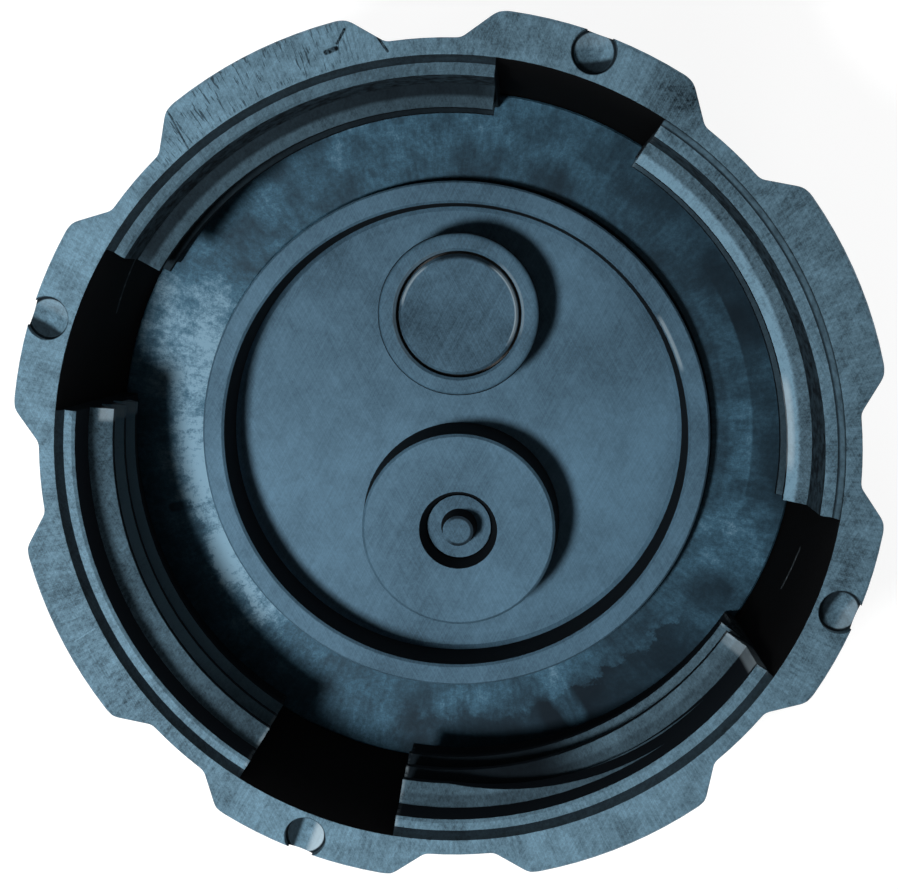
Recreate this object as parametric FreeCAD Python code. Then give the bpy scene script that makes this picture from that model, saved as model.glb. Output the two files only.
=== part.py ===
# Screw cap of a vehicle's coolant expansion tank, standing on its closed face with the mouth up.
# Millimetres. Z is the cap's axis, and z = 0 is the closed outer face.
# Angles grow anticlockwise, seen from above.
import FreeCAD, Part
import math
import os

# Grip and closed end
cap_height = 40.0
lobe_height = 3.1
valley_wall = 1.7
lobe_count = 8
lobe_top_span = 25.5
lobe_flank_span = 4.7
first_lobe_angle = 24.5
lobe_tip_radius = 2.8
lobe_foot_radius = 1.6
grip_draft = 0.7
shoulder_radius = 4.5
mouth_edge_bevel = 0.25
closed_wall = 2.6
closed_face_panel_radius = 31.0
closed_face_panel_depth = 0.6

# Mouth, thread sleeve and its gaps
ledge_width = 1.2
ledge_depth = 1.2
rim_taper_width = 0.6
sleeve_edge_bevel = 0.3
thread_crest_radius = 39.0
thread_height = 2.4
thread_pitch = 4.0
thread_turns = 2.425
thread_start_angle = 316.0
thread_start_depth = 5.8
thread_crest_width = 0.7
thread_mouth_flank = 1.3
thread_deep_flank = 1.1
thread_runout_offset = 7.0
thread_runout_clearance = 0.1
thread_root_overlap = 0.8
gap_count = 4
gap_span = 25.0

# Ejector pin marks on the lobes over the gaps
pin_mark_diameter = 4.7
pin_mark_depth = 1.9
pin_mark_wall = 0.7
pin_mark_inset = 1.9

# Flat rubber ring that the tank's neck presses on
gasket_thickness = 3.0
gasket_face_height = 4.8
gasket_edge_bevel = 0.25
gasket_wall_clearance = 0.1
gasket_hole_clearance = 0.3
sleeve_to_gasket_clearance = 0.3

# Valve carrier: a cup whose rim is the raised collar inside the gasket
collar_inner_radius = 29.4
collar_wall = 2.7
collar_height = 2.5
collar_edge_bevel = 0.3
carrier_floor_thickness = 2.0
carrier_wall_clearance = 0.1
carrier_foot_fillet = 0.5
carrier_seat_width = 5.2
chamber_height = 7.2

# Round-section seal between carrier and shell
o_ring_section = 1.5
o_ring_squeeze_clearance = 0.05

# Vacuum valve: the large boss with the stud in its hole
vacuum_x = 0.5
vacuum_y = -11.7
vacuum_boss_radius = 12.4
vacuum_boss_draft = 0.7
vacuum_boss_height = 7.0
vacuum_boss_edge = 0.35
vacuum_hole_mouth_radius = 5.0
vacuum_hole_seat_radius = 4.3
vacuum_hole_depth = 2.5
vacuum_lift = 1.2
vacuum_plate_thickness = 1.4
vacuum_plate_clearance = 0.2
vacuum_plate_sink = 0.1
stud_base_radius = 2.35
stud_tip_radius = 1.95
stud_proud = 0.4
vacuum_stem_radius = 1.2
stem_clearance = 0.05
vacuum_seal_thickness = 1.2
vacuum_seal_radius = 4.0
seat_plate_radius = 9.1
seat_plate_thickness = 2.0
seat_plate_clearance = 0.05
seat_shoulder_width = 1.6
seat_vent_count = 6
seat_vent_radius = 0.75
seat_vent_circle_radius = 2.7
vacuum_spring_radius = 2.5
vacuum_spring_wire = 0.6
vacuum_spring_turns = 4.5
vacuum_spring_slack = 1.5
retainer_radius = 3.3
retainer_thickness = 0.8
stem_end_length = 0.6

# Pressure valve: the smaller boss with the flush disc
pressure_x = 0.7
pressure_y = 15.7
pressure_boss_radius = 10.2
pressure_boss_height = 6.6
pressure_boss_edge = 0.8
pressure_bore_radius = 7.9
pressure_lip_thickness = 3.0
pressure_disc_clearance = 0.35
pressure_disc_sink = 0.4
pressure_disc_edge = 0.35
pressure_cavity_wall = 1.1
pressure_flange_clearance = 0.25
pressure_flange_thickness = 1.4
pressure_seal_thickness = 1.3
seal_face_clearance = 0.05
pressure_spring_radius = 6.0
pressure_spring_wire = 1.2
pressure_spring_turns = 4.5
spring_guide_wall = 1.0
spring_guide_height = 1.4
spring_guide_clearance = 0.25

# Relief outlets in the grip's valleys
outlet_count = 4
outlet_radius = 1.5
outlet_height = 6.2

# Arcs that follow each turn of a spring's helix
coil_arcs_per_turn = 8

# How far cutting tools run past the faces that they open
cut_margin = 1.0

# Radii that follow from the sizes above, from the thread outwards and from the collar
sleeve_bore_radius = thread_crest_radius + thread_height
rim_bore_radius = sleeve_bore_radius + ledge_width
wall_inner_radius = rim_bore_radius + rim_taper_width
valley_radius = wall_inner_radius + valley_wall
lobe_radius = valley_radius + lobe_height
pin_mark_circle_radius = lobe_radius - pin_mark_inset
collar_outer_radius = collar_inner_radius + collar_wall
pocket_radius = collar_outer_radius + carrier_wall_clearance
chamber_radius = pocket_radius - carrier_seat_width

# Heights that follow from the sizes above, from the closed end upwards
ledge_z = cap_height - ledge_depth
carrier_seat_z = closed_wall + chamber_height
carrier_floor_z = carrier_seat_z + carrier_floor_thickness
gasket_face_z = carrier_floor_z + gasket_face_height
gasket_seat_z = gasket_face_z - gasket_thickness
sleeve_end_z = gasket_face_z + sleeve_to_gasket_clearance
collar_top_z = gasket_face_z + collar_height
vacuum_boss_top_z = carrier_floor_z + vacuum_boss_height
pressure_boss_top_z = carrier_floor_z + pressure_boss_height
vacuum_hole_seat_z = vacuum_boss_top_z - vacuum_hole_depth
vacuum_plate_top_z = vacuum_hole_seat_z - vacuum_plate_sink
vacuum_seal_top_z = vacuum_plate_top_z - vacuum_plate_thickness
seat_plate_top_z = vacuum_seal_top_z - vacuum_seal_thickness - seal_face_clearance
seat_plate_under_z = seat_plate_top_z - seat_plate_thickness
vacuum_spring_length = vacuum_spring_turns * vacuum_spring_wire + vacuum_lift + vacuum_spring_slack
retainer_top_z = seat_plate_under_z - vacuum_spring_length
pressure_seat_z = pressure_boss_top_z - pressure_lip_thickness
pressure_flange_top_z = pressure_seat_z - seal_face_clearance - pressure_seal_thickness
pressure_flange_under_z = pressure_flange_top_z - pressure_flange_thickness
pressure_disc_radius = pressure_bore_radius - pressure_disc_clearance
pressure_cavity_radius = pressure_boss_radius - pressure_cavity_wall
pressure_flange_radius = pressure_cavity_radius - pressure_flange_clearance

UP = FreeCAD.Vector(0, 0, 1)
CENTRE = FreeCAD.Vector(0, 0, 0)


def point(radius, angle, z=0.0):
    turn = math.radians(angle)
    return FreeCAD.Vector(radius * math.cos(turn), radius * math.sin(turn), z)


def turned(outline, x=0.0, y=0.0, span=360.0):
    """A solid turned about a vertical axis at x, y from radius and height pairs."""
    corners = [FreeCAD.Vector(x + radius, y, z) for radius, z in outline]
    face = Part.Face(Part.makePolygon(corners + corners[:1]))
    return face.revolve(FreeCAD.Vector(x, y, 0), UP, span)


def cylinder(radius, low, high, x=0.0, y=0.0):
    return Part.makeCylinder(radius, high - low, FreeCAD.Vector(x, y, low))


def arc_edge(radius, start, end):
    middle = (start + end) / 2
    return Part.Arc(point(radius, start), point(radius, middle), point(radius, end)).toShape()


def upright_edges(prism):
    return [edge for edge in prism.Edges if len(edge.Vertexes) == 2
            and abs(edge.Vertexes[0].Z - edge.Vertexes[1].Z) > cap_height / 2]


def distance_from_axis(edge):
    place = edge.Vertexes[0].Point
    return math.hypot(place.x, place.y)


def grip_prism():
    """The straight lobed prism, with its upright corners rounded."""
    step = 360.0 / lobe_count
    edges = []
    for lobe in range(lobe_count):
        centre = first_lobe_angle + lobe * step
        top_start = centre - lobe_top_span / 2
        top_end = centre + lobe_top_span / 2
        foot_start = top_start - lobe_flank_span
        foot_end = top_end + lobe_flank_span
        next_foot = foot_start + step
        edges.append(Part.makeLine(point(valley_radius, foot_start), point(lobe_radius, top_start)))
        edges.append(arc_edge(lobe_radius, top_start, top_end))
        edges.append(Part.makeLine(point(lobe_radius, top_end), point(valley_radius, foot_end)))
        edges.append(arc_edge(valley_radius, foot_end, next_foot))
    outline = Part.Face(Part.Wire(Part.__sortEdges__(edges)))
    prism = outline.extrude(FreeCAD.Vector(0, 0, cap_height))
    half_way = (valley_radius + lobe_radius) / 2
    tips = [edge for edge in upright_edges(prism) if distance_from_axis(edge) > half_way]
    prism = prism.makeFillet(lobe_tip_radius, tips)
    feet = [edge for edge in upright_edges(prism) if distance_from_axis(edge) < half_way]
    return prism.makeFillet(lobe_foot_radius, feet)


def grip_envelope():
    """The turned form that drafts the lobes, rounds the closed end and bevels the mouth's edge."""
    foot_radius = lobe_radius - grip_draft
    low = FreeCAD.Vector(foot_radius - shoulder_radius, 0, 0)
    bend = FreeCAD.Vector(foot_radius - shoulder_radius * (1 - math.sqrt(0.5)), 0,
                          shoulder_radius * (1 - math.sqrt(0.5)))
    side = FreeCAD.Vector(foot_radius, 0, shoulder_radius)
    edge = FreeCAD.Vector(lobe_radius, 0, cap_height - mouth_edge_bevel)
    rim = FreeCAD.Vector(lobe_radius - mouth_edge_bevel, 0, cap_height)
    axis_top = FreeCAD.Vector(0, 0, cap_height)
    wire = Part.Wire([
        Part.makeLine(CENTRE, low),
        Part.Arc(low, bend, side).toShape(),
        Part.makeLine(side, edge),
        Part.makeLine(edge, rim),
        Part.makeLine(rim, axis_top),
        Part.makeLine(axis_top, CENTRE),
    ])
    return Part.Face(wire).revolve(CENTRE, UP, 360)


def thread_ridge():
    """The female thread's ridge, swept up from its deep end to its start near the mouth."""
    start_z = cap_height - thread_start_depth
    rise = thread_pitch * thread_turns
    deep_angle = thread_start_angle - 360.0 * thread_turns
    half_crest = thread_crest_width / 2
    root_radius = sleeve_bore_radius + thread_root_overlap
    slope_up = thread_mouth_flank / thread_height
    slope_down = thread_deep_flank / thread_height
    depth = root_radius - thread_crest_radius
    corners = [
        FreeCAD.Vector(thread_crest_radius, 0, half_crest),
        FreeCAD.Vector(root_radius, 0, half_crest + slope_up * depth),
        FreeCAD.Vector(root_radius, 0, -half_crest - slope_down * depth),
        FreeCAD.Vector(thread_crest_radius, 0, -half_crest),
    ]
    profile = Part.makePolygon(corners + corners[:1])
    path = Part.Wire(Part.makeHelix(thread_pitch, rise, thread_crest_radius))
    ridge = path.makePipeShell([profile], True, True)
    ridge.rotate(CENTRE, UP, deep_angle)
    ridge.translate(FreeCAD.Vector(0, 0, start_z - rise))
    return ridge.cut(runout_cutter(start_z))


def runout_cutter(start_z):
    """An off-centre cylinder that lets the first turn rise out of the sleeve's wall."""
    radius = sleeve_bore_radius + thread_runout_clearance - thread_runout_offset
    floor_z = start_z - thread_crest_width / 2 - thread_deep_flank
    centre = point(thread_runout_offset, thread_start_angle)
    return cylinder(radius, floor_z, cap_height, centre.x, centre.y)


def sleeve_gap(angle):
    """A sector, centred on an angle, that cuts the sleeve and thread back to the outer wall."""
    inner = chamber_radius
    top = cap_height + cut_margin
    sector = turned([(inner, gasket_seat_z), (wall_inner_radius, gasket_seat_z),
                     (wall_inner_radius, top), (inner, top)], span=gap_span)
    sector.rotate(CENTRE, UP, angle - gap_span / 2)
    return sector


def pin_mark(angle):
    """A round recess with a conical bottom in the mouth's face, open at the lobe's edge."""
    half = pin_mark_diameter / 2
    place = point(pin_mark_circle_radius, angle)
    return turned([
        (0, cap_height - pin_mark_depth),
        (half, cap_height - pin_mark_wall),
        (half, cap_height + cut_margin),
        (0, cap_height + cut_margin),
    ], place.x, place.y)


def cap_shell():
    """Grip, thread sleeve and closed end, moulded in one piece."""
    hollow = turned([
        (0, closed_wall),
        (chamber_radius, closed_wall),
        (chamber_radius, carrier_seat_z),
        (pocket_radius, carrier_seat_z),
        (pocket_radius, gasket_seat_z),
        (wall_inner_radius, gasket_seat_z),
        (wall_inner_radius, sleeve_end_z),
        (sleeve_bore_radius, sleeve_end_z),
        (sleeve_bore_radius, ledge_z - sleeve_edge_bevel),
        (sleeve_bore_radius + sleeve_edge_bevel, ledge_z),
        (rim_bore_radius, ledge_z),
        (wall_inner_radius, cap_height),
        (wall_inner_radius, cap_height + cut_margin),
        (0, cap_height + cut_margin),
    ])
    shell = grip_prism().common(grip_envelope()).cut(hollow)
    shell = shell.fuse(thread_ridge())
    step = 360.0 / lobe_count
    gap_angles = [first_lobe_angle + step + gap * 360.0 / gap_count for gap in range(gap_count)]
    cutters = [sleeve_gap(angle) for angle in gap_angles]
    cutters += [pin_mark(angle) for angle in gap_angles]
    cutters.append(cylinder(closed_face_panel_radius, -cut_margin, closed_face_panel_depth))
    for outlet in range(outlet_count):
        angle = first_lobe_angle + step / 2 + outlet * 360.0 / outlet_count
        start = point(chamber_radius - cut_margin, angle, outlet_height)
        cutters.append(Part.makeCylinder(outlet_radius, lobe_radius, start, point(1, angle)))
    shell = shell.cut(cutters)
    return shell.fuse(spring_guide()).removeSplitter()


def spring_guide():
    """The low ring on the closed wall that holds the pressure spring's foot."""
    inner = pressure_spring_radius + pressure_spring_wire / 2 + spring_guide_clearance
    outer = inner + spring_guide_wall
    top = closed_wall + spring_guide_height
    foot = closed_wall - closed_face_panel_depth
    return turned([(inner, foot), (outer, foot), (outer, top), (inner, top)], pressure_x, pressure_y)


def neck_gasket():
    inner = collar_outer_radius + gasket_hole_clearance
    outer = wall_inner_radius - gasket_wall_clearance
    bevel = gasket_edge_bevel
    return turned([
        (inner, gasket_seat_z),
        (outer, gasket_seat_z),
        (outer, gasket_face_z - bevel),
        (outer - bevel, gasket_face_z),
        (inner + bevel, gasket_face_z),
        (inner, gasket_face_z - bevel),
    ])


def o_ring_centre():
    """Radius and height of the centre of the round seal's section."""
    radius = pocket_radius - o_ring_squeeze_clearance - o_ring_section / 2
    z = (carrier_seat_z + gasket_seat_z) / 2
    return radius, z


def valve_carrier():
    """Cup with the raised collar, the floor between the valves and both valve bosses."""
    centre_radius, groove_z = o_ring_centre()
    groove_floor = centre_radius - o_ring_section / 2 - o_ring_squeeze_clearance
    groove_half = o_ring_section / 2 + o_ring_squeeze_clearance
    fillet = carrier_foot_fillet
    cup = turned([
        (0, carrier_seat_z),
        (collar_outer_radius, carrier_seat_z),
        (collar_outer_radius, groove_z - groove_half),
        (groove_floor, groove_z - groove_half),
        (groove_floor, groove_z + groove_half),
        (collar_outer_radius, groove_z + groove_half),
        (collar_outer_radius, collar_top_z - gasket_edge_bevel),
        (collar_outer_radius - gasket_edge_bevel, collar_top_z),
        (collar_inner_radius + collar_edge_bevel, collar_top_z),
        (collar_inner_radius, collar_top_z - collar_edge_bevel),
        (collar_inner_radius, carrier_floor_z + fillet),
        (collar_inner_radius - fillet, carrier_floor_z),
        (0, carrier_floor_z),
    ])
    vacuum_edge = vacuum_boss_edge
    vacuum_boss = turned([
        (0, carrier_seat_z),
        (vacuum_boss_radius + vacuum_boss_draft, carrier_seat_z),
        (vacuum_boss_radius + vacuum_boss_draft, carrier_floor_z),
        (vacuum_boss_radius, vacuum_boss_top_z - vacuum_edge),
        (vacuum_boss_radius - vacuum_edge, vacuum_boss_top_z),
        (0, vacuum_boss_top_z),
    ], vacuum_x, vacuum_y)
    pressure_boss = cylinder(pressure_boss_radius, carrier_seat_z, pressure_boss_top_z,
                             pressure_x, pressure_y)
    top_rim = [edge for edge in pressure_boss.Edges if edge.BoundBox.ZMin > carrier_floor_z]
    pressure_boss = pressure_boss.makeFillet(pressure_boss_edge, top_rim)
    body = cup.fuse([vacuum_boss, pressure_boss])
    return body.cut([vacuum_cavity(), pressure_cavity()]).removeSplitter()


def vacuum_cavity():
    """The hole round the stud, the space under it and the socket of the seat plate."""
    socket = seat_plate_radius + seat_plate_clearance
    space = socket - seat_shoulder_width
    below = carrier_seat_z - cut_margin
    return turned([
        (0, below),
        (socket, below),
        (socket, seat_plate_top_z),
        (space, seat_plate_top_z),
        (space, vacuum_seal_top_z),
        (vacuum_hole_seat_radius, vacuum_seal_top_z),
        (vacuum_hole_seat_radius, vacuum_hole_seat_z),
        (vacuum_hole_mouth_radius, vacuum_boss_top_z),
        (vacuum_hole_mouth_radius, vacuum_boss_top_z + cut_margin),
        (0, vacuum_boss_top_z + cut_margin),
    ], vacuum_x, vacuum_y)


def pressure_cavity():
    """The bore that the disc shows through and the wider space behind its seat."""
    edge = pressure_disc_edge
    below = carrier_seat_z - cut_margin
    return turned([
        (0, below),
        (pressure_cavity_radius, below),
        (pressure_cavity_radius, pressure_seat_z),
        (pressure_bore_radius, pressure_seat_z),
        (pressure_bore_radius, pressure_boss_top_z - edge),
        (pressure_bore_radius + edge, pressure_boss_top_z),
        (pressure_bore_radius + edge, pressure_boss_top_z + cut_margin),
        (0, pressure_boss_top_z + cut_margin),
    ], pressure_x, pressure_y)


def carrier_o_ring():
    radius, z = o_ring_centre()
    return Part.makeTorus(radius, o_ring_section / 2, FreeCAD.Vector(0, 0, z), UP)


def coil(mean_radius, wire, turns, low, high, x, y):
    """A coil spring of round wire between two heights, along arcs through a helix's points."""
    wire_radius = wire / 2
    length = high - low - wire
    arc_count = round(turns * coil_arcs_per_turn)
    arc_angle = 360.0 * turns / arc_count
    arc_rise = length / arc_count
    arcs = []
    for index in range(arc_count):
        stations = [index, index + 0.5, index + 1]
        places = [point(mean_radius, arc_angle * along, arc_rise * along) for along in stations]
        arcs.append(Part.Arc(*places).toShape())
    slope = FreeCAD.Vector(0, 2 * math.pi * mean_radius, length / turns)
    section = Part.Wire(Part.makeCircle(wire_radius, point(mean_radius, 0), slope))
    spring = Part.Wire(arcs).makePipeShell([section], True, False)
    spring.translate(FreeCAD.Vector(x, y, low + wire_radius))
    return spring


def pressure_valve_disc():
    """Disc that shows in its boss, with the flange that the seal and spring act on."""
    top = pressure_boss_top_z - pressure_disc_sink
    edge = pressure_disc_edge
    pilot = pressure_spring_radius - pressure_spring_wire / 2 - spring_guide_clearance
    pilot_z = pressure_flange_under_z - spring_guide_height
    return turned([
        (0, pilot_z),
        (pilot, pilot_z),
        (pilot, pressure_flange_under_z),
        (pressure_flange_radius, pressure_flange_under_z),
        (pressure_flange_radius, pressure_flange_top_z),
        (pressure_disc_radius, pressure_flange_top_z),
        (pressure_disc_radius, top - edge),
        (pressure_disc_radius - edge, top),
        (0, top),
    ], pressure_x, pressure_y)


def pressure_seal():
    inner = pressure_disc_radius + seal_face_clearance
    top = pressure_flange_top_z + pressure_seal_thickness
    return turned([(inner, pressure_flange_top_z), (pressure_flange_radius, pressure_flange_top_z),
                   (pressure_flange_radius, top), (inner, top)], pressure_x, pressure_y)


def pressure_spring():
    return coil(pressure_spring_radius, pressure_spring_wire, pressure_spring_turns,
                closed_wall, pressure_flange_under_z, pressure_x, pressure_y)


def vacuum_seat():
    """Plate pressed into its socket, with a bore for the stem and a ring of vents."""
    bore = vacuum_stem_radius + stem_clearance
    plate = turned([(bore, seat_plate_under_z), (seat_plate_radius, seat_plate_under_z),
                    (seat_plate_radius, seat_plate_top_z), (bore, seat_plate_top_z)], vacuum_x, vacuum_y)
    vents = []
    for vent in range(seat_vent_count):
        place = point(seat_vent_circle_radius, vent * 360.0 / seat_vent_count)
        vents.append(cylinder(seat_vent_radius, seat_plate_under_z - cut_margin, seat_plate_top_z + cut_margin,
                              vacuum_x + place.x, vacuum_y + place.y))
    return plate.cut(vents)


def vacuum_poppet():
    """Plate with the tapered stud above and the guide stem below."""
    plate_radius = vacuum_hole_seat_radius - vacuum_plate_clearance
    stud_top = vacuum_boss_top_z + stud_proud
    retainer_under = retainer_top_z - retainer_thickness
    stem_end = retainer_under - stem_end_length
    return turned([
        (0, stem_end),
        (vacuum_stem_radius, stem_end),
        (vacuum_stem_radius, vacuum_seal_top_z),
        (plate_radius, vacuum_seal_top_z),
        (plate_radius, vacuum_plate_top_z),
        (stud_base_radius, vacuum_plate_top_z),
        (stud_tip_radius, stud_top),
        (0, stud_top),
    ], vacuum_x, vacuum_y)


def vacuum_seal():
    inner = vacuum_stem_radius + seal_face_clearance
    low = vacuum_seal_top_z - vacuum_seal_thickness
    return turned([(inner, low), (vacuum_seal_radius, low),
                   (vacuum_seal_radius, vacuum_seal_top_z), (inner, vacuum_seal_top_z)], vacuum_x, vacuum_y)


def vacuum_spring():
    return coil(vacuum_spring_radius, vacuum_spring_wire, vacuum_spring_turns,
                retainer_top_z, seat_plate_under_z, vacuum_x, vacuum_y)


def vacuum_retainer():
    """Washer fixed on the stem's end, which the spring pushes on."""
    low = retainer_top_z - retainer_thickness
    return turned([(vacuum_stem_radius, low), (retainer_radius, low),
                   (retainer_radius, retainer_top_z), (vacuum_stem_radius, retainer_top_z)],
                  vacuum_x, vacuum_y)


PIECES = {
    "cap_shell": cap_shell,
    "neck_gasket": neck_gasket,
    "valve_carrier": valve_carrier,
    "carrier_o_ring": carrier_o_ring,
    "pressure_valve_disc": pressure_valve_disc,
    "pressure_seal": pressure_seal,
    "pressure_spring": pressure_spring,
    "vacuum_seat": vacuum_seat,
    "vacuum_poppet": vacuum_poppet,
    "vacuum_seal": vacuum_seal,
    "vacuum_spring": vacuum_spring,
    "vacuum_retainer": vacuum_retainer,
}

os.makedirs("parts", exist_ok=True)
for name, build in PIECES.items():
    build().exportStep("parts/" + name + ".step")
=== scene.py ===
"""Looks of the expansion tank cap: scuffed dark plastic and rubber, moulding marks, lights and camera."""

import math

import bmesh
import bpy
from mathutils import Matrix, Vector


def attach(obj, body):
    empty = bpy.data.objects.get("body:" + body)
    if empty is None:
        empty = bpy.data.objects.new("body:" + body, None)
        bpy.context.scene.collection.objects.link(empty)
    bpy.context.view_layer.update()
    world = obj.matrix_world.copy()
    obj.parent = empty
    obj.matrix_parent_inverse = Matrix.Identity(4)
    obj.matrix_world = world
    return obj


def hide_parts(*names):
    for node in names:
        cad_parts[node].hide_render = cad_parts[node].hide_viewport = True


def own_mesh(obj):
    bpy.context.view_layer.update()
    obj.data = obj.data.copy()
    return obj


MM = 0.001

# Camera, from the sizes and centres of the rim, collar and floor circles
CAMERA_PLACE = Vector((8.91, 19.29, 168.07)) * MM
CAMERA_DIRECTION = Vector((-0.0628, -0.1320, -0.9893))
CAMERA_UP_HINT = Vector((0.0083, 1.0, 0.0))
CAMERA_LENS = 47.79
SENSOR_WIDTH = 36.0

# Colours, linear
# Pale haze colours: partly scuffing and dust, partly a painted sheen of the lamp on faces that look up
HAZE_AND_SHEEN = (0.150, 0.270, 0.357)
CARRIER_HAZE_AND_SHEEN = (0.148, 0.297, 0.428)
DARK_PLASTIC = (0.0018, 0.0032, 0.0048)
# Painted shade: a deeper black for the walls of the gaps
GAP_SHADE_BLACK = (0.0003, 0.0003, 0.0004)
RUBBER_DARK = (0.0040, 0.0110, 0.0180)
RUBBER_MID = (0.046, 0.118, 0.178)
RUBBER_PALE = (0.190, 0.325, 0.425)
SEAL_BLACK = (0.012, 0.012, 0.013)
STEEL = (0.45, 0.46, 0.47)
PALE_MARK = (0.42, 0.52, 0.58)
WHITE = (1.0, 1.0, 1.0)

# Places in the part's frame, in millimetres and degrees
RIM_Z = 40.0
COLLAR_TOP_Z = 19.1
GASKET_Z = 16.6
GAP_WALL_RADIUS = 43.2
GAP_HALF_SPAN = 12.5
OUTER_WALL_RADIUS = 43.9
PRESSURE_CENTRE = (0.7, 15.7)
PRESSURE_BORE_RADIUS = 7.9
VACUUM_CENTRE = (0.5, -11.7)
# Bearings of the middles of the thread's left, near, right and far quarters
QUARTERS = (204.5, 294.5, 24.5, 114.5)
# Bearing, radius, size, softness and strength of pale and dark places on the mouth's face
FACE_SHADES = (
    (205, 46, 26, 14, -0.15), (20, 46, 28, 12, -0.14), (340, 46, 16, 8, -0.06), (292, 46, 20, 10, -0.02),
    (57.5, 46, 3.2, 1.8, -0.30), (72, 45.5, 3.6, 1.6, -0.15), (84, 46, 3.5, 2.0, -0.15),
)
# Start, end, width and strength of scratches and weld lines on the mouth's face
FACE_SCRATCHES = (
    ((-11.8, 43.6), (-10.7, 44.0), 0.55, -0.6), ((-10.6, 44.5), (-9.8, 45.9), 0.3, -0.6),
    ((-6.3, 45.0), (-5.3, 43.6), 0.3, -0.6), ((-28.7, 37.6), (-26.8, 34.0), 0.22, -0.5),
    ((-41.9, -20.3), (-39.5, -18.8), 0.18, 0.25),
)
# Bearing and height of the start and the end of a painted reflection, a pale line on the wall in two of the
# gaps
GAP_WALL_REFLECTIONS = ((148.5, 28.6, 157.5, 26.8), (337.0, 26.4, 344.0, 27.4))
# Bearing, radius, size, softness and strength of pale and dark places on the gasket: worn smears, with the
# pale run along the left side and the dark places on the right partly painted light and shade
GASKET_WEAR_AND_LIGHT = (
    (159, 38, 7.5, 4, 0.50), (150, 36, 6, 4, 0.15), (172, 34, 5, 3, 0.30),
    (184, 34, 4.5, 2.5, 0.40), (196, 34, 4.5, 2.5, 0.35), (208, 34, 4.5, 2.5, 0.32),
    (220, 34, 4.5, 2.5, 0.28), (232, 34, 4.5, 2.5, 0.22), (252, 39, 4.5, 2.5, 0.10),
    (120, 37, 8, 5, 0.10), (100, 34, 5, 3, 0.06), (340, 37, 4.5, 2.5, 0.22), (26, 41, 6, 2.5, -0.06),
    (42, 40, 8, 3, -0.09), (64, 34, 5, 3, -0.06), (84, 34.5, 3, 2, -0.08), (328.5, 38.5, 3.2, 1.2, -0.12),
)
# Pale and dark bands on the gasket, the dark outer ones at 275° and 305° painted shadow under the thread
# and the pale inner one at 200° painted light: whether the edge wanders, inner and outer radius, softness,
# bearing, half span, fade and strength
GASKET_BANDS = (
    (False, 37.7, 46, 0.15, 8, 20, 4, -0.10), (False, 34.7, 37.7, 0.25, 8, 24, 8, 0.04),
    (False, 30, 34.7, 0.3, 8, 24, 8, -0.03), (True, 36.4, 46, 0.35, 305, 17, 3, -0.13),
    (True, 37.4, 46, 0.9, 275, 14, 5, -0.13), (True, 30, 35.5, 0.6, 282, 22, 8, 0.05),
    (True, 30, 35.3, 0.5, 200, 24, 8, 0.55), (True, 36.0, 46, 0.9, 90, 22, 10, 0.08),
)
# Start, end, width and strength of the streaks across the gasket
GASKET_STREAKS = (
    ((-33.4, -8.6), (-37.0, -9.2), 1.3, -0.35), ((11.2, -30.5), (15.6, -37.0), 3.2, 0.13),
    ((-2.0, -35.2), (2.0, -33.4), 2.2, 0.10),
)
PIN_MARK_RADIUS = 46.1
PIN_MARK_SIZE = 2.35
PIN_MARK_ANGLES = (69.5, 159.5, 249.5, 339.5)
# Bearing of the light for each pin mark's painted shade, and the strength of its painted highlight
PIN_MARK_LIGHTS = (95.0, 60.0, 340.0, 330.0)
PIN_MARK_GLINTS = (0.10, 0.12, 0.60, 0.22)
# Node, joint, whether the upper end is the fixed one, and travel in millimetres
VALVE_SPRINGS = (
    ("pressure_spring", "pressure_lift", False, 2.0),
    ("vacuum_spring", "vacuum_lift", True, 1.2),
)

# Lamps, in millimetres and watts
KEY_PLACE = (-70, -34, 200)
KEY_TARGET = (0, 0, 20)
KEY_POWER = 0.40
KEY_SIZE = 36
LOW_LAMP_ANGLES = (200, 290, 20, 110)
LOW_LAMP_RADIUS = 260
LOW_LAMP_Z = 30
LOW_LAMP_TARGET = (0, 0, 22)
LOW_LAMP_POWER = 0.5
LOW_LAMP_SIZE = 90
WORLD_FILL = 0.05

# Floor: half its width in metres, and how far it lies under the cap in millimetres
FLOOR_HALF_WIDTH = 3.0
FLOOR_DROP = 0.05
FLOOR_GREY = (0.3, 0.3, 0.3)
FLOOR_GLOW = 0.84

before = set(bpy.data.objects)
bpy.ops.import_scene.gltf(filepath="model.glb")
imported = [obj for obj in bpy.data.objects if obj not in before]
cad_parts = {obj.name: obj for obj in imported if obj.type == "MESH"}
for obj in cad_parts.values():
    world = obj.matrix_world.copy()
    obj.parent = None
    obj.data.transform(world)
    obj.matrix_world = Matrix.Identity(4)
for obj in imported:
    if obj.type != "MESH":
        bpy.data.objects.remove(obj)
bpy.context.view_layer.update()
scene = bpy.context.scene


def on_circle(radius, angle, z=0.0):
    turn = math.radians(angle)
    return Vector((radius * math.cos(turn), radius * math.sin(turn), z)) * MM


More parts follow.
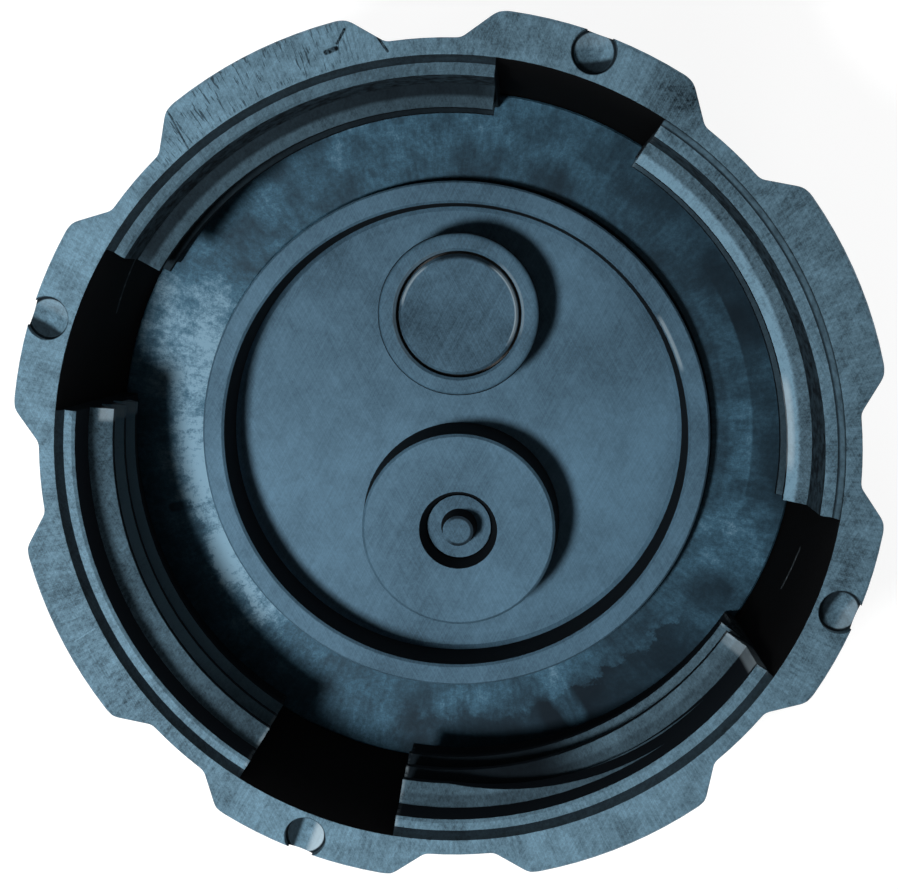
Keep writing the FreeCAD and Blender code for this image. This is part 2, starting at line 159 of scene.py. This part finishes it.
class Graph:
    """A material's nodes, added one by one, with sockets joined by name."""

    def __init__(self, name):
        self.material = bpy.data.materials.new(name)
        self.material.use_nodes = True
        self.tree = self.material.node_tree
        self.tree.nodes.clear()
        self.output = self.tree.nodes.new("ShaderNodeOutputMaterial")
        self.coordinates = self.tree.nodes.new("ShaderNodeTexCoord").outputs["Object"]
        self.x, self.y, self.z = self.split(self.coordinates)
        flat = self.vector("MULTIPLY", self.coordinates, (1.0, 1.0, 0.0))
        self.radius = self.vector("LENGTH", flat, output="Value")
        normal = self.tree.nodes.new("ShaderNodeNewGeometry").outputs["Normal"]
        # How far a face looks up: the pale haze and painted light follow it, and upright faces stay dark as
        # painted shade
        self.up = self.ramp(self.split(normal)[2], 0.35, 0.85)

    def set(self, socket, value):
        if isinstance(value, bpy.types.NodeSocket):
            self.tree.links.new(value, socket)
        elif isinstance(value, (tuple, list, Vector)) and socket.type == "RGBA":
            socket.default_value = (*value, 1.0)
        else:
            socket.default_value = value

    def math(self, operation, *values, clamp=False):
        node = self.tree.nodes.new("ShaderNodeMath")
        node.operation = operation
        node.use_clamp = clamp
        for socket, value in zip(node.inputs, values):
            self.set(socket, value)
        return node.outputs[0]

    def total(self, values, clamp=False):
        result = values[0]
        for value in values[1:]:
            result = self.math("ADD", result, value)
        return self.math("ADD", result, 0.0, clamp=True) if clamp else result

    def vector(self, operation, *values, scale=None, output=0):
        node = self.tree.nodes.new("ShaderNodeVectorMath")
        node.operation = operation
        for socket, value in zip(node.inputs, values):
            self.set(socket, value)
        if scale is not None:
            self.set(node.inputs["Scale"], scale)
        return node.outputs[output]

    def ramp(self, value, low, high, to_low=0.0, to_high=1.0, smooth=True):
        node = self.tree.nodes.new("ShaderNodeMapRange")
        node.interpolation_type = "SMOOTHSTEP" if smooth else "LINEAR"
        for socket, number in zip(node.inputs, (value, low, high, to_low, to_high)):
            self.set(socket, number)
        return node.outputs[0]

    def within(self, value, low, high, soft):
        """One between two bounds in millimetres, nought outside them."""
        rise = self.ramp(value, (low - soft) * MM, (low + soft) * MM)
        fall = self.ramp(value, (high - soft) * MM, (high + soft) * MM, 1.0, 0.0)
        return self.math("MULTIPLY", rise, fall)

    def mix(self, share, first, second):
        node = self.tree.nodes.new("ShaderNodeMix")
        node.data_type = "RGBA"
        self.set(node.inputs["Factor"], share)
        colours = [socket for socket in node.inputs if socket.type == "RGBA"]
        self.set(colours[0], first)
        self.set(colours[1], second)
        return [socket for socket in node.outputs if socket.type == "RGBA"][0]

    def noise(self, place, per_mm, detail=3.0, rough=0.55, distortion=0.0):
        node = self.tree.nodes.new("ShaderNodeTexNoise")
        self.set(node.inputs["Vector"], place)
        node.inputs["Scale"].default_value = per_mm / MM
        node.inputs["Detail"].default_value = detail
        node.inputs["Roughness"].default_value = rough
        node.inputs["Distortion"].default_value = distortion
        return node.outputs["Fac"]

    def streaks(self, angle, along_mm, across_mm, seed):
        """Noise stretched along one direction of the XY plane, for brushed marks."""
        turned = self.tree.nodes.new("ShaderNodeMapping")
        turned.inputs["Rotation"].default_value = (0.0, 0.0, math.radians(-angle))
        turned.inputs["Location"].default_value = (seed * MM * 37.0, seed * MM * 11.0, 0.0)
        self.set(turned.inputs["Vector"], self.coordinates)
        stretched = self.vector("MULTIPLY", turned.outputs[0], (across_mm / along_mm, 1.0, 0.3))
        return self.noise(stretched, 1.0 / across_mm, 4.0, 0.65)

    def radial_streaks(self, along_mm, across_mm, at_radius):
        """Noise stretched along the radius, for marks that run out from the axis."""
        turn = self.math("ARCTAN2", self.y, self.x)
        round_axis = self.math("MULTIPLY", turn, at_radius * MM)
        outwards = self.math("MULTIPLY", self.radius, across_mm / along_mm)
        joined = self.tree.nodes.new("ShaderNodeCombineXYZ")
        for socket, value in zip(joined.inputs, (round_axis, outwards, self.z)):
            self.set(socket, value)
        return self.noise(joined.outputs[0], 1.0 / across_mm, 4.0, 0.65)

    def split(self, place):
        node = self.tree.nodes.new("ShaderNodeSeparateXYZ")
        self.set(node.inputs[0], place)
        return node.outputs

    def bump(self, height, depth_mm, strength=1.0, normal=None):
        node = self.tree.nodes.new("ShaderNodeBump")
        node.inputs["Strength"].default_value = strength
        node.inputs["Distance"].default_value = depth_mm * MM
        self.set(node.inputs["Height"], height)
        if normal is not None:
            self.set(node.inputs["Normal"], normal)
        return node.outputs[0]

    def rounded_edges(self, radius_mm):
        node = self.tree.nodes.new("ShaderNodeBevel")
        node.samples = 2
        node.inputs["Radius"].default_value = radius_mm * MM
        return node.outputs[0]

    def from_axis(self, centre):
        """Distance from an upright axis through a point in millimetres."""
        away = self.vector("SUBTRACT", self.coordinates, (centre[0] * MM, centre[1] * MM, 0.0))
        away = self.vector("MULTIPLY", away, (1.0, 1.0, 0.0))
        return away, self.vector("LENGTH", away, output="Value")

    def spot(self, centre, radius_mm, soft_mm):
        """One inside a soft-edged round place of the XY plane, nought outside."""
        length = self.from_axis(centre)[1]
        return self.ramp(length, (radius_mm - soft_mm) * MM, (radius_mm + soft_mm) * MM, 1.0, 0.0)

    def sector(self, middle_angle, half_span, soft):
        """One between two bearings from the part's axis, fading out past them."""
        turn = math.radians(middle_angle)
        side = self.vector("MULTIPLY", self.coordinates, (1.0, 1.0, 0.0))
        side = self.vector("NORMALIZE", side)
        side = self.vector("DOT_PRODUCT", side, (math.cos(turn), math.sin(turn), 0.0), output="Value")
        edge = math.cos(math.radians(half_span + soft))
        inner = math.cos(math.radians(half_span - soft))
        return self.ramp(side, edge, inner)

    def both(self, first, second):
        return self.math("MULTIPLY", first, second)

    def arc(self, centre, radius_mm, width_mm, middle_angle, half_span):
        """One along part of a circle of the XY plane, fading out towards its ends."""
        away, length = self.from_axis(centre)
        band = self.within(length, radius_mm - width_mm / 2, radius_mm + width_mm / 2, 0.3 * width_mm)
        turn = math.radians(middle_angle)
        side = self.vector("NORMALIZE", away)
        side = self.vector("DOT_PRODUCT", side, (math.cos(turn), math.sin(turn), 0.0), output="Value")
        edge = math.cos(math.radians(half_span))
        inner = math.cos(math.radians(half_span * 0.6))
        return self.math("MULTIPLY", band, self.ramp(side, edge, inner))

    def line(self, start, end, width_mm):
        """One along a thin line between two points in space, nought away from it."""
        start = Vector(start) * MM
        end = Vector(end) * MM
        along = end - start
        from_start = self.vector("SUBTRACT", self.coordinates, start)
        share = self.vector("DOT_PRODUCT", from_start, along / along.length_squared, output="Value")
        share = self.math("MAXIMUM", self.math("MINIMUM", share, 1.0), 0.0)
        nearest = self.vector("SCALE", along, scale=share)
        gap = self.vector("LENGTH", self.vector("SUBTRACT", from_start, nearest), output="Value")
        return self.ramp(gap, 0.3 * width_mm * MM, 0.65 * width_mm * MM, 1.0, 0.0)

    def principled(self, colour, roughness, normal, specular=0.5, metallic=0.0):
        node = self.tree.nodes.new("ShaderNodeBsdfPrincipled")
        self.set(node.inputs["Base Color"], colour)
        self.set(node.inputs["Roughness"], roughness)
        self.set(node.inputs["Normal"], normal)
        node.inputs["Specular IOR Level"].default_value = specular
        node.inputs["Metallic"].default_value = metallic
        self.tree.links.new(node.outputs[0], self.output.inputs["Surface"])
        return self.material


class Plastic(Graph):
    """Dark moulded plastic whose up-facing faces carry a pale, brushed haze: partly scuffing and dust,
    partly painted light and sheen from above, while upright faces keep a near-black that is partly painted
    shade.
    """

    def __init__(self, name, strength, brush, mottle, haze_and_sheen=HAZE_AND_SHEEN):
        super().__init__(name)
        self.haze_and_sheen = haze_and_sheen
        patches = self.noise(self.coordinates, 0.06, 3.0, 0.5)
        blotches = self.noise(self.coordinates, 0.35, 5.0, 0.6, 0.6)
        self.grain = self.noise(self.coordinates, 2.4, 3.0, 0.6)
        fine = self.noise(self.coordinates, 6.0, 2.0, 0.6)
        self.brushed = self.total([self.streaks(62, 7.0, 0.22, 1.0), self.streaks(118, 5.0, 0.16, 2.0)])
        self.terms = [
            self.ramp(patches, 0.3, 0.7, strength - 0.08, strength + 0.08),
            self.ramp(blotches, 0.3, 0.7, -0.12 * mottle, 0.12 * mottle),
            self.ramp(self.grain, 0.3, 0.7, -0.10 * mottle, 0.10 * mottle),
            self.ramp(fine, 0.3, 0.7, -0.07 * mottle, 0.07 * mottle),
            self.ramp(self.brushed, 0.75, 1.3, -0.20 * brush, 0.20 * brush),
        ]
        self.factors = []
        self.marks = []

    def dim(self, mask, share):
        """Takes a share of the pale haze and painted sheen away from a place."""
        self.factors.append(self.math("SUBTRACT", 1.0, self.math("MULTIPLY", mask, share)))

    def dimple(self, centre, radius_mm, light_angle, glint):
        """A round recess with a dark rim, dark towards the light and pale across from it: painted shade on
        the rim and one side, and a painted highlight.
        """
        turn = math.radians(light_angle)
        away, length = self.from_axis(centre)
        near_face = self.ramp(self.z, (RIM_Z - 2.2) * MM, (RIM_Z - 2.0) * MM)
        inside = self.ramp(length, (radius_mm - 0.35) * MM, (radius_mm - 0.2) * MM, 1.0, 0.0)
        inside = self.both(near_face, inside)
        side = self.vector("DOT_PRODUCT", away, (math.cos(turn), math.sin(turn), 0.0), output="Value")
        self.dim(self.both(near_face, self.within(length, radius_mm - 0.3, radius_mm + 0.05, 0.08)), 0.95)
        self.dim(self.both(inside, self.ramp(side, -0.2 * radius_mm * MM, -0.45 * radius_mm * MM)), 0.9)
        self.mark(self.both(inside, self.ramp(side, 0.15 * radius_mm * MM, 0.5 * radius_mm * MM)), glint)

    def shade(self, mask, amount):
        """Makes a place of the haze and painted sheen paler, or darker where the amount is negative."""
        self.terms.append(self.math("MULTIPLY", mask, amount))

    def mark(self, mask, amount):
        """Lays a pale mark over the finish: worn places, and painted highlights and reflections."""
        self.marks.append(self.math("MULTIPLY", mask, amount))

    def finish(self, upright_wear_and_light=0.0, specular=0.3, edges=None, gap_shade=None):
        haze_and_sheen = self.math("MULTIPLY", self.total(self.terms), self.up)
        for factor in self.factors:
            haze_and_sheen = self.math("MULTIPLY", haze_and_sheen, factor)
        amount = self.math("ADD", haze_and_sheen, upright_wear_and_light, clamp=True)
        # Painted shade: the walls of the gaps go towards a deeper black
        dark = DARK_PLASTIC if gap_shade is None else self.mix(gap_shade, DARK_PLASTIC, GAP_SHADE_BLACK)
        colour = self.mix(amount, dark, self.haze_and_sheen)
        if self.marks:
            colour = self.mix(self.total(self.marks, clamp=True), colour, PALE_MARK)
        roughness = self.ramp(amount, 0.0, 0.5, 0.85, 0.58, smooth=False)
        grain = self.math("MULTIPLY", self.grain, 0.6)
        relief = self.total([grain, self.math("MULTIPLY", self.brushed, 0.5)])
        normal = self.bump(relief, 0.03, 0.7, edges)
        return self.principled(colour, roughness, normal, specular)


def shell_plastic():
    graph = Plastic("shell_plastic", strength=0.66, brush=0.5, mottle=1.0)
    face = graph.ramp(graph.radius, 43.2 * MM, 43.6 * MM)
    radial = graph.radial_streaks(5.0, 0.3, 44.0)
    graph.terms.append(graph.ramp(radial, 0.35, 0.65, -0.07, 0.07))
    strokes = graph.ramp(graph.radial_streaks(2.6, 0.32, 46.0), 0.54, 0.61)
    graph.dim(graph.both(graph.both(strokes, face), graph.sector(118.0, 15.0, 7.0)), 0.7)
    for angle, radius, size, soft, amount in FACE_SHADES:
        graph.shade(graph.spot(on_circle(radius, angle) / MM, size, soft), amount)
    # The sleeve and thread, one quarter after another, with painted light and shade: each quarter's flanks,
    # ledge and deeper turns are made paler or darker to follow where the lamp's light and shadow fall
    sleeve = graph.ramp(graph.radius, 42.5 * MM, 42.9 * MM, 1.0, 0.0)
    thread = graph.both(sleeve, graph.ramp(graph.z, 37.8 * MM, 38.2 * MM, 1.0, 0.0))
    ledge = graph.both(sleeve, graph.ramp(graph.z, 38.2 * MM, 38.5 * MM))
    root = graph.ramp(graph.radius, 39.9 * MM, 40.4 * MM)
    deep = graph.ramp(graph.z, 29.5 * MM, 31.5 * MM, 1.0, 0.0)
    left, near, right, far = (graph.sector(middle, 35.0, 6.0) for middle in QUARTERS)
    upper = graph.math("SUBTRACT", 1.0, deep)
    graph.dim(graph.both(graph.both(thread, left), upper), 0.42)
    graph.shade(graph.both(graph.both(thread, left), deep), 0.6)
    graph.dim(graph.both(thread, graph.sector(238.0, 12.0, 9.0)), 0.45)
    second = graph.both(thread, graph.ramp(graph.z, 31.6 * MM, 32.2 * MM, 1.0, 0.0))
    graph.dim(graph.both(second, graph.sector(266.0, 26.0, 8.0)), 0.96)
    graph.dim(graph.both(thread, near), 0.50)
    graph.dim(graph.both(thread, far), 0.62)
    graph.dim(graph.both(ledge, far), 0.42)
    graph.dim(graph.both(ledge, near), 0.12)
    graph.shade(graph.both(ledge, left), 0.12)
    graph.dim(graph.both(graph.both(thread, root), far), 0.80)
    graph.dim(graph.both(graph.both(thread, far), graph.sector(90.0, 12.0, 9.0)), 0.35)
    graph.dim(graph.both(graph.both(thread, root), right), 0.30)
    graph.dim(graph.both(graph.both(thread, root), near), 0.40)
    graph.dim(graph.both(deep, graph.math("MAXIMUM", far, right)), 0.85)
    graph.shade(graph.both(graph.both(thread, right), graph.math("SUBTRACT", 1.0, root)), 0.45)
    # A painted highlight on the upper flank of the thread at the right
    graph.mark(graph.both(upper, graph.arc((0.0, 0.0), 39.1, 1.0, 5.0, 9.0)), 0.5)
    # Pale edges where the gaps cut the sleeve: partly wear and chips, partly painted highlight where the
    # cut faces catch the light
    turn = graph.math("ARCTAN2", graph.y, graph.x)
    turn = graph.math("SUBTRACT", turn, math.radians(PIN_MARK_ANGLES[0]))
    from_gap = graph.math("ABSOLUTE", graph.math("WRAP", turn, math.radians(45.0), math.radians(-45.0)))
    from_edge = graph.math("ABSOLUTE", graph.math("SUBTRACT", from_gap, math.radians(GAP_HALF_SPAN)))
    near_gap_edge = graph.ramp(from_edge, math.radians(0.25), math.radians(0.75), 1.0, 0.0)
    chips_and_glints = graph.ramp(graph.noise(graph.coordinates, 0.9, 4.0, 0.7), 0.40, 0.62)
    places = ((249.5, 14.5, 1.0), (57.0, 2.0, 0.8), (326.5, 2.0, 0.8))
    places = graph.total([graph.sector(*place) for place in places])
    chips_and_glints = graph.both(chips_and_glints, graph.ramp(graph.up, 0.0, 1.0, 0.35, 1.0))
    graph.mark(graph.both(graph.both(sleeve, near_gap_edge), graph.both(chips_and_glints, places)), 0.22)
    # Painted highlights on the rounded ends of the thread at two gaps' edges
    crest = graph.ramp(graph.radius, 40.2 * MM, 40.7 * MM, 1.0, 0.0)
    graph.mark(graph.both(graph.both(thread, crest), graph.sector(172.6, 1.3, 0.6)), 0.32)
    graph.mark(graph.both(graph.both(thread, upper), graph.sector(326.2, 1.0, 0.5)), 0.25)
    # Scratches, painted reflections as pale lines on the gaps' walls, and pin marks with painted shade and
    # highlights
    for start, end, width, amount in FACE_SCRATCHES:
        graph.shade(graph.line((*start, RIM_Z), (*end, RIM_Z), width), amount)
    for from_angle, from_z, to_angle, to_z in GAP_WALL_REFLECTIONS:
        points = []
        for share in (0.0, 0.25, 0.5, 0.75, 1.0):
            angle = from_angle + share * (to_angle - from_angle)
            points.append(on_circle(GAP_WALL_RADIUS, angle, from_z + share * (to_z - from_z)) / MM)
        for start, end in zip(points, points[1:]):
            graph.mark(graph.line(start, end, 0.5), 0.07)
    for angle, light, glint in zip(PIN_MARK_ANGLES, PIN_MARK_LIGHTS, PIN_MARK_GLINTS):
        graph.dimple(on_circle(PIN_MARK_RADIUS, angle) / MM, PIN_MARK_SIZE, light, glint)
    # Faces that stand upright: the grip's outside with its scuffs, and the taper at the mouth and the
    # sleeve's wall, made paler on the right and far side as painted light
    outer = graph.ramp(graph.radius, (OUTER_WALL_RADIUS - 0.3) * MM, OUTER_WALL_RADIUS * MM)
    outer = graph.math("MAXIMUM", outer, graph.ramp(graph.z, 2.0 * MM, 3.5 * MM, 1.0, 0.0))
    side = graph.math("SUBTRACT", 1.0, graph.up)
    scuffs = graph.noise(graph.coordinates, 0.9, 5.0, 0.65, 0.1)
    grained = graph.ramp(graph.grain, 0.3, 0.7, -0.04, 0.04)
    worn_wall = graph.total([graph.ramp(scuffs, 0.3, 0.7, 0.12, 0.22), grained])
    upright_wear_and_light = graph.both(graph.both(outer, side), worn_wall)
    taper = graph.within(graph.radius, 42.75, 43.1, 0.08)
    taper = graph.both(taper, graph.ramp(graph.z, 38.9 * MM, 39.0 * MM))
    painted_taper_light = graph.ramp(scuffs, 0.3, 0.7, 0.12, 0.32)
    upright_wear_and_light = graph.math("ADD", upright_wear_and_light, graph.both(taper, graph.both(right, painted_taper_light)))
    inside = graph.both(graph.within(graph.radius, 41.2, 41.9, 0.2), graph.math("MAXIMUM", right, far))
    inside = graph.both(inside, side)
    upright_wear_and_light = graph.math("ADD", upright_wear_and_light, graph.both(inside, graph.ramp(scuffs, 0.35, 0.65, 0.0, 0.09)))
    # Painted shade: the walls of the gaps are darkened further, to near black
    painted_gap_shade = graph.within(graph.radius, GAP_WALL_RADIUS - 0.25, GAP_WALL_RADIUS + 0.25, 0.08)
    return graph.finish(upright_wear_and_light, 0.05, graph.rounded_edges(0.16), painted_gap_shade)


def carrier_plastic():
    graph = Plastic("carrier_plastic", 0.46, 0.3, 0.35, CARRIER_HAZE_AND_SHEEN)
    graph.shade(graph.spot((-19, -3), 12, 8), 0.10)
    graph.shade(graph.spot((20, -3.5), 8.5, 4), 0.11)
    graph.shade(graph.spot((-2, 26), 12, 7), -0.08)
    graph.shade(graph.spot((-16.5, 21.5), 3.4, 2.0), -0.10)
    collar = graph.ramp(graph.radius, 27.4 * MM, 27.8 * MM)
    graph.shade(collar, -0.04)
    graph.shade(graph.arc(PRESSURE_CENTRE, 9.2, 2.4, 0.0, 181.0), -0.06)
    graph.dim(graph.line((17.6, -18.2, COLLAR_TOP_Z), (19.3, -19.9, COLLAR_TOP_Z), 0.4), 0.8)
    graph.dim(graph.line((25.5, 6.9, COLLAR_TOP_Z), (26.4, 5.8, COLLAR_TOP_Z), 0.9), 0.9)
    # A painted highlight along the collar's inner edge, on its top
    rim = graph.ramp(graph.z, 18.3 * MM, 18.6 * MM)
    graph.mark(graph.both(rim, graph.arc((0.0, 0.0), 29.75, 0.4, 24.0, 8.0)), 0.40)
    # Painted highlights on the pressure bore's edge
    graph.mark(graph.arc(PRESSURE_CENTRE, PRESSURE_BORE_RADIUS + 0.2, 0.3, 15.0, 40.0), 0.25)
    graph.mark(graph.arc(PRESSURE_CENTRE, PRESSURE_BORE_RADIUS + 0.15, 0.45, 165.0, 75.0), 0.10)
    return graph.finish(0.0, 0.08, graph.rounded_edges(0.14))


def valve_plastic():
    graph = Plastic("valve_plastic", 0.38, 0.3, 0.4, CARRIER_HAZE_AND_SHEEN)
    pressure = graph.spot(PRESSURE_CENTRE, 9.0, 0.5)
    graph.shade(pressure, -0.05)
    # Painted shade in a ring round the vacuum poppet's stud
    graph.dim(graph.arc(VACUUM_CENTRE, 1.8, 0.45, 0.0, 181.0), 0.85)
    # Painted highlights just inside the pressure disc's edge
    graph.mark(graph.arc(PRESSURE_CENTRE, 7.25, 0.36, 12.0, 48.0), 0.55)
    graph.mark(graph.arc(PRESSURE_CENTRE, 7.2, 0.32, 147.0, 26.0), 0.40)
    graph.dim(graph.arc(PRESSURE_CENTRE, 7.3, 0.7, 80.0, 38.0), 0.8)
    return graph.finish(0.0, 0.08)


def smeared_rubber(name):
    """Gasket rubber: dark and matt, with pale smears where the tank's neck rubbed it, and painted light and
    shadow laid in with them.
    """
    graph = Graph(name)
    blotches = graph.noise(graph.coordinates, 0.22, 6.0, 0.62, 0.3)
    patches = graph.noise(graph.coordinates, 0.09, 3.0, 0.5, 0.3)
    wander = graph.noise(graph.coordinates, 0.30, 5.0, 0.65)
    wander = graph.ramp(wander, 0.25, 0.75, -2.2 * MM, 2.2 * MM, smooth=False)
    wandering_radius = graph.math("ADD", graph.radius, wander)
    grain = graph.noise(graph.coordinates, 1.8, 3.0, 0.6)
    fine = graph.noise(graph.coordinates, 5.0, 2.0, 0.6)
    streaks = graph.radial_streaks(4.0, 0.8, 37.0)
    places = [graph.ramp(patches, 0.3, 0.7, 0.13, 0.23)]
    for angle, radius, size, soft, share in GASKET_WEAR_AND_LIGHT:
        places.append(graph.both(graph.spot(on_circle(radius, angle) / MM, size, soft), share))
    for wanders, low, high, soft, bearing, half_span, fade, share in GASKET_BANDS:
        band = graph.within(wandering_radius if wanders else graph.radius, low, high, soft)
        places.append(graph.both(graph.both(band, graph.sector(bearing, half_span, fade)), share))
    for start, end, width, share in GASKET_STREAKS:
        places.append(graph.both(graph.line((*start, GASKET_Z), (*end, GASKET_Z), width), share))
    wear_and_light = graph.total(places, clamp=True)
    for texture, spread in ((blotches, 0.45), (streaks, 0.22), (grain, 0.20), (fine, 0.15)):
        wear_and_light = graph.both(wear_and_light, graph.ramp(texture, 0.33, 0.67, 1.0 - spread, 1.0 + spread))
    colour = graph.mix(graph.ramp(wear_and_light, 0.0, 0.4, smooth=False), RUBBER_DARK, RUBBER_MID)
    colour = graph.mix(graph.ramp(wear_and_light, 0.4, 1.0, smooth=False), colour, RUBBER_PALE)
    roughness = graph.ramp(wear_and_light, 0.0, 1.0, 0.5, 0.75, smooth=False)
    normal = graph.bump(graph.total([grain, blotches]), 0.04, 0.6)
    return graph.principled(colour, roughness, normal, 0.1)


def seal_rubber(name):
    graph = Graph(name)
    grain = graph.noise(graph.coordinates, 1.2, 4.0, 0.6)
    colour = graph.mix(graph.ramp(grain, 0.35, 0.7), SEAL_BLACK, (0.03, 0.03, 0.032))
    roughness = graph.ramp(grain, 0.3, 0.7, 0.45, 0.65)
    return graph.principled(colour, roughness, graph.bump(grain, 0.02, 0.4), 0.4)


def drawn_steel(name):
    graph = Graph(name)
    grain = graph.noise(graph.coordinates, 2.5, 4.0, 0.6)
    colour = graph.mix(graph.ramp(grain, 0.35, 0.7), STEEL, (0.30, 0.31, 0.32))
    roughness = graph.ramp(grain, 0.3, 0.7, 0.22, 0.42)
    return graph.principled(colour, roughness, graph.bump(grain, 0.01, 0.3), 0.5, 1.0)


def dress(node, material):
    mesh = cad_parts[node].data
    mesh.materials.clear()
    mesh.materials.append(material)


def dress_nodes():
    valve = valve_plastic()
    seal = seal_rubber("seal_rubber")
    steel = drawn_steel("spring_steel")
    finishes = {
        "cap_shell": shell_plastic(),
        "valve_carrier": carrier_plastic(),
        "neck_gasket": smeared_rubber("gasket_rubber"),
        "pressure_valve_disc": valve,
        "vacuum_poppet": valve,
        "vacuum_seat": valve,
        "carrier_o_ring": seal,
        "pressure_seal": seal,
        "vacuum_seal": seal,
        "pressure_spring": steel,
        "vacuum_spring": steel,
        "vacuum_retainer": steel,
    }
    for node, material in finishes.items():
        dress(node, material)


def add_coils():
    """Copies of the valve springs that ride on the cap in place of the CAD springs."""
    for node, joint, fixed_high, travel in VALVE_SPRINGS:
        coil = bpy.data.objects.new(node + "_coil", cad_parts[node].data.copy())
        scene.collection.objects.link(coil)
        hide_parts(node)
        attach(coil, "cap")
        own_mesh(coil)


def add_light(name, place, target, power, size):
    data = bpy.data.lights.new(name, "AREA")
    data.energy = power
    data.shape = "DISK"
    data.size = size * MM
    light = bpy.data.objects.new(name, data)
    direction = (Vector(target) - Vector(place)) * MM
    turn = direction.to_track_quat("-Z", "Y").to_matrix().to_4x4()
    light.matrix_world = Matrix.Translation(Vector(place) * MM) @ turn
    scene.collection.objects.link(light)


def add_lights():
    add_light("key", KEY_PLACE, KEY_TARGET, KEY_POWER, KEY_SIZE)
    for index, angle in enumerate(LOW_LAMP_ANGLES):
        place = on_circle(LOW_LAMP_RADIUS, angle) / MM
        place = (place.x, place.y, LOW_LAMP_Z)
        add_light("low_%d" % index, place, LOW_LAMP_TARGET, LOW_LAMP_POWER, LOW_LAMP_SIZE)


def add_world():
    """White where the camera, glass or gloss sees it, and a faint fill light elsewhere."""
    world = bpy.data.worlds.new("studio")
    world.use_nodes = True
    nodes = world.node_tree.nodes
    links = world.node_tree.links
    background = nodes["Background"]
    path = nodes.new("ShaderNodeLightPath")
    seen = nodes.new("ShaderNodeMath")
    seen.operation = "MAXIMUM"
    links.new(path.outputs["Is Camera Ray"], seen.inputs[0])
    links.new(path.outputs["Is Transmission Ray"], seen.inputs[1])
    reflected = nodes.new("ShaderNodeMath")
    reflected.operation = "MAXIMUM"
    links.new(seen.outputs[0], reflected.inputs[0])
    links.new(path.outputs["Is Glossy Ray"], reflected.inputs[1])
    strength = nodes.new("ShaderNodeMapRange")
    links.new(reflected.outputs[0], strength.inputs["Value"])
    strength.inputs["To Min"].default_value = WORLD_FILL
    strength.inputs["To Max"].default_value = 1.0
    links.new(strength.outputs[0], background.inputs["Strength"])
    background.inputs["Color"].default_value = (*WHITE, 1.0)
    scene.world = world


def add_floor():
    """A pale floor that the camera sees as white, with a faint shadow under the cap."""
    mesh = bpy.data.meshes.new("floor")
    form = bmesh.new()
    corners = [form.verts.new((x * FLOOR_HALF_WIDTH, y * FLOOR_HALF_WIDTH, -FLOOR_DROP * MM))
               for x, y in ((-1, -1), (1, -1), (1, 1), (-1, 1))]
    form.faces.new(corners)
    form.to_mesh(mesh)
    form.free()
    floor = bpy.data.objects.new("floor", mesh)
    scene.collection.objects.link(floor)
    material = bpy.data.materials.new("floor")
    material.use_nodes = True
    tree = material.node_tree
    tree.nodes.clear()
    output = tree.nodes.new("ShaderNodeOutputMaterial")
    paper = tree.nodes.new("ShaderNodeBsdfDiffuse")
    paper.inputs["Color"].default_value = (*FLOOR_GREY, 1.0)
    glow = tree.nodes.new("ShaderNodeEmission")
    path = tree.nodes.new("ShaderNodeLightPath")
    seen = tree.nodes.new("ShaderNodeMath")
    seen.operation = "MULTIPLY"
    seen.inputs[1].default_value = FLOOR_GLOW
    tree.links.new(path.outputs["Is Camera Ray"], seen.inputs[0])
    tree.links.new(seen.outputs[0], glow.inputs["Strength"])
    both = tree.nodes.new("ShaderNodeAddShader")
    tree.links.new(paper.outputs[0], both.inputs[0])
    tree.links.new(glow.outputs[0], both.inputs[1])
    tree.links.new(both.outputs[0], output.inputs["Surface"])
    mesh.materials.append(material)


def add_camera():
    data = bpy.data.cameras.new("camera")
    data.sensor_width = SENSOR_WIDTH
    data.lens = CAMERA_LENS
    data.clip_start = 0.001
    camera = bpy.data.objects.new("camera", data)
    forward = CAMERA_DIRECTION.normalized()
    right = forward.cross(CAMERA_UP_HINT).normalized()
    up = right.cross(forward)
    turn = Matrix((right, up, -forward)).transposed().to_4x4()
    camera.matrix_world = Matrix.Translation(CAMERA_PLACE) @ turn
    scene.collection.objects.link(camera)
    scene.camera = camera


dress_nodes()
add_coils()
add_lights()
add_world()
add_floor()
add_camera()
scene.view_settings.view_transform = "Standard"
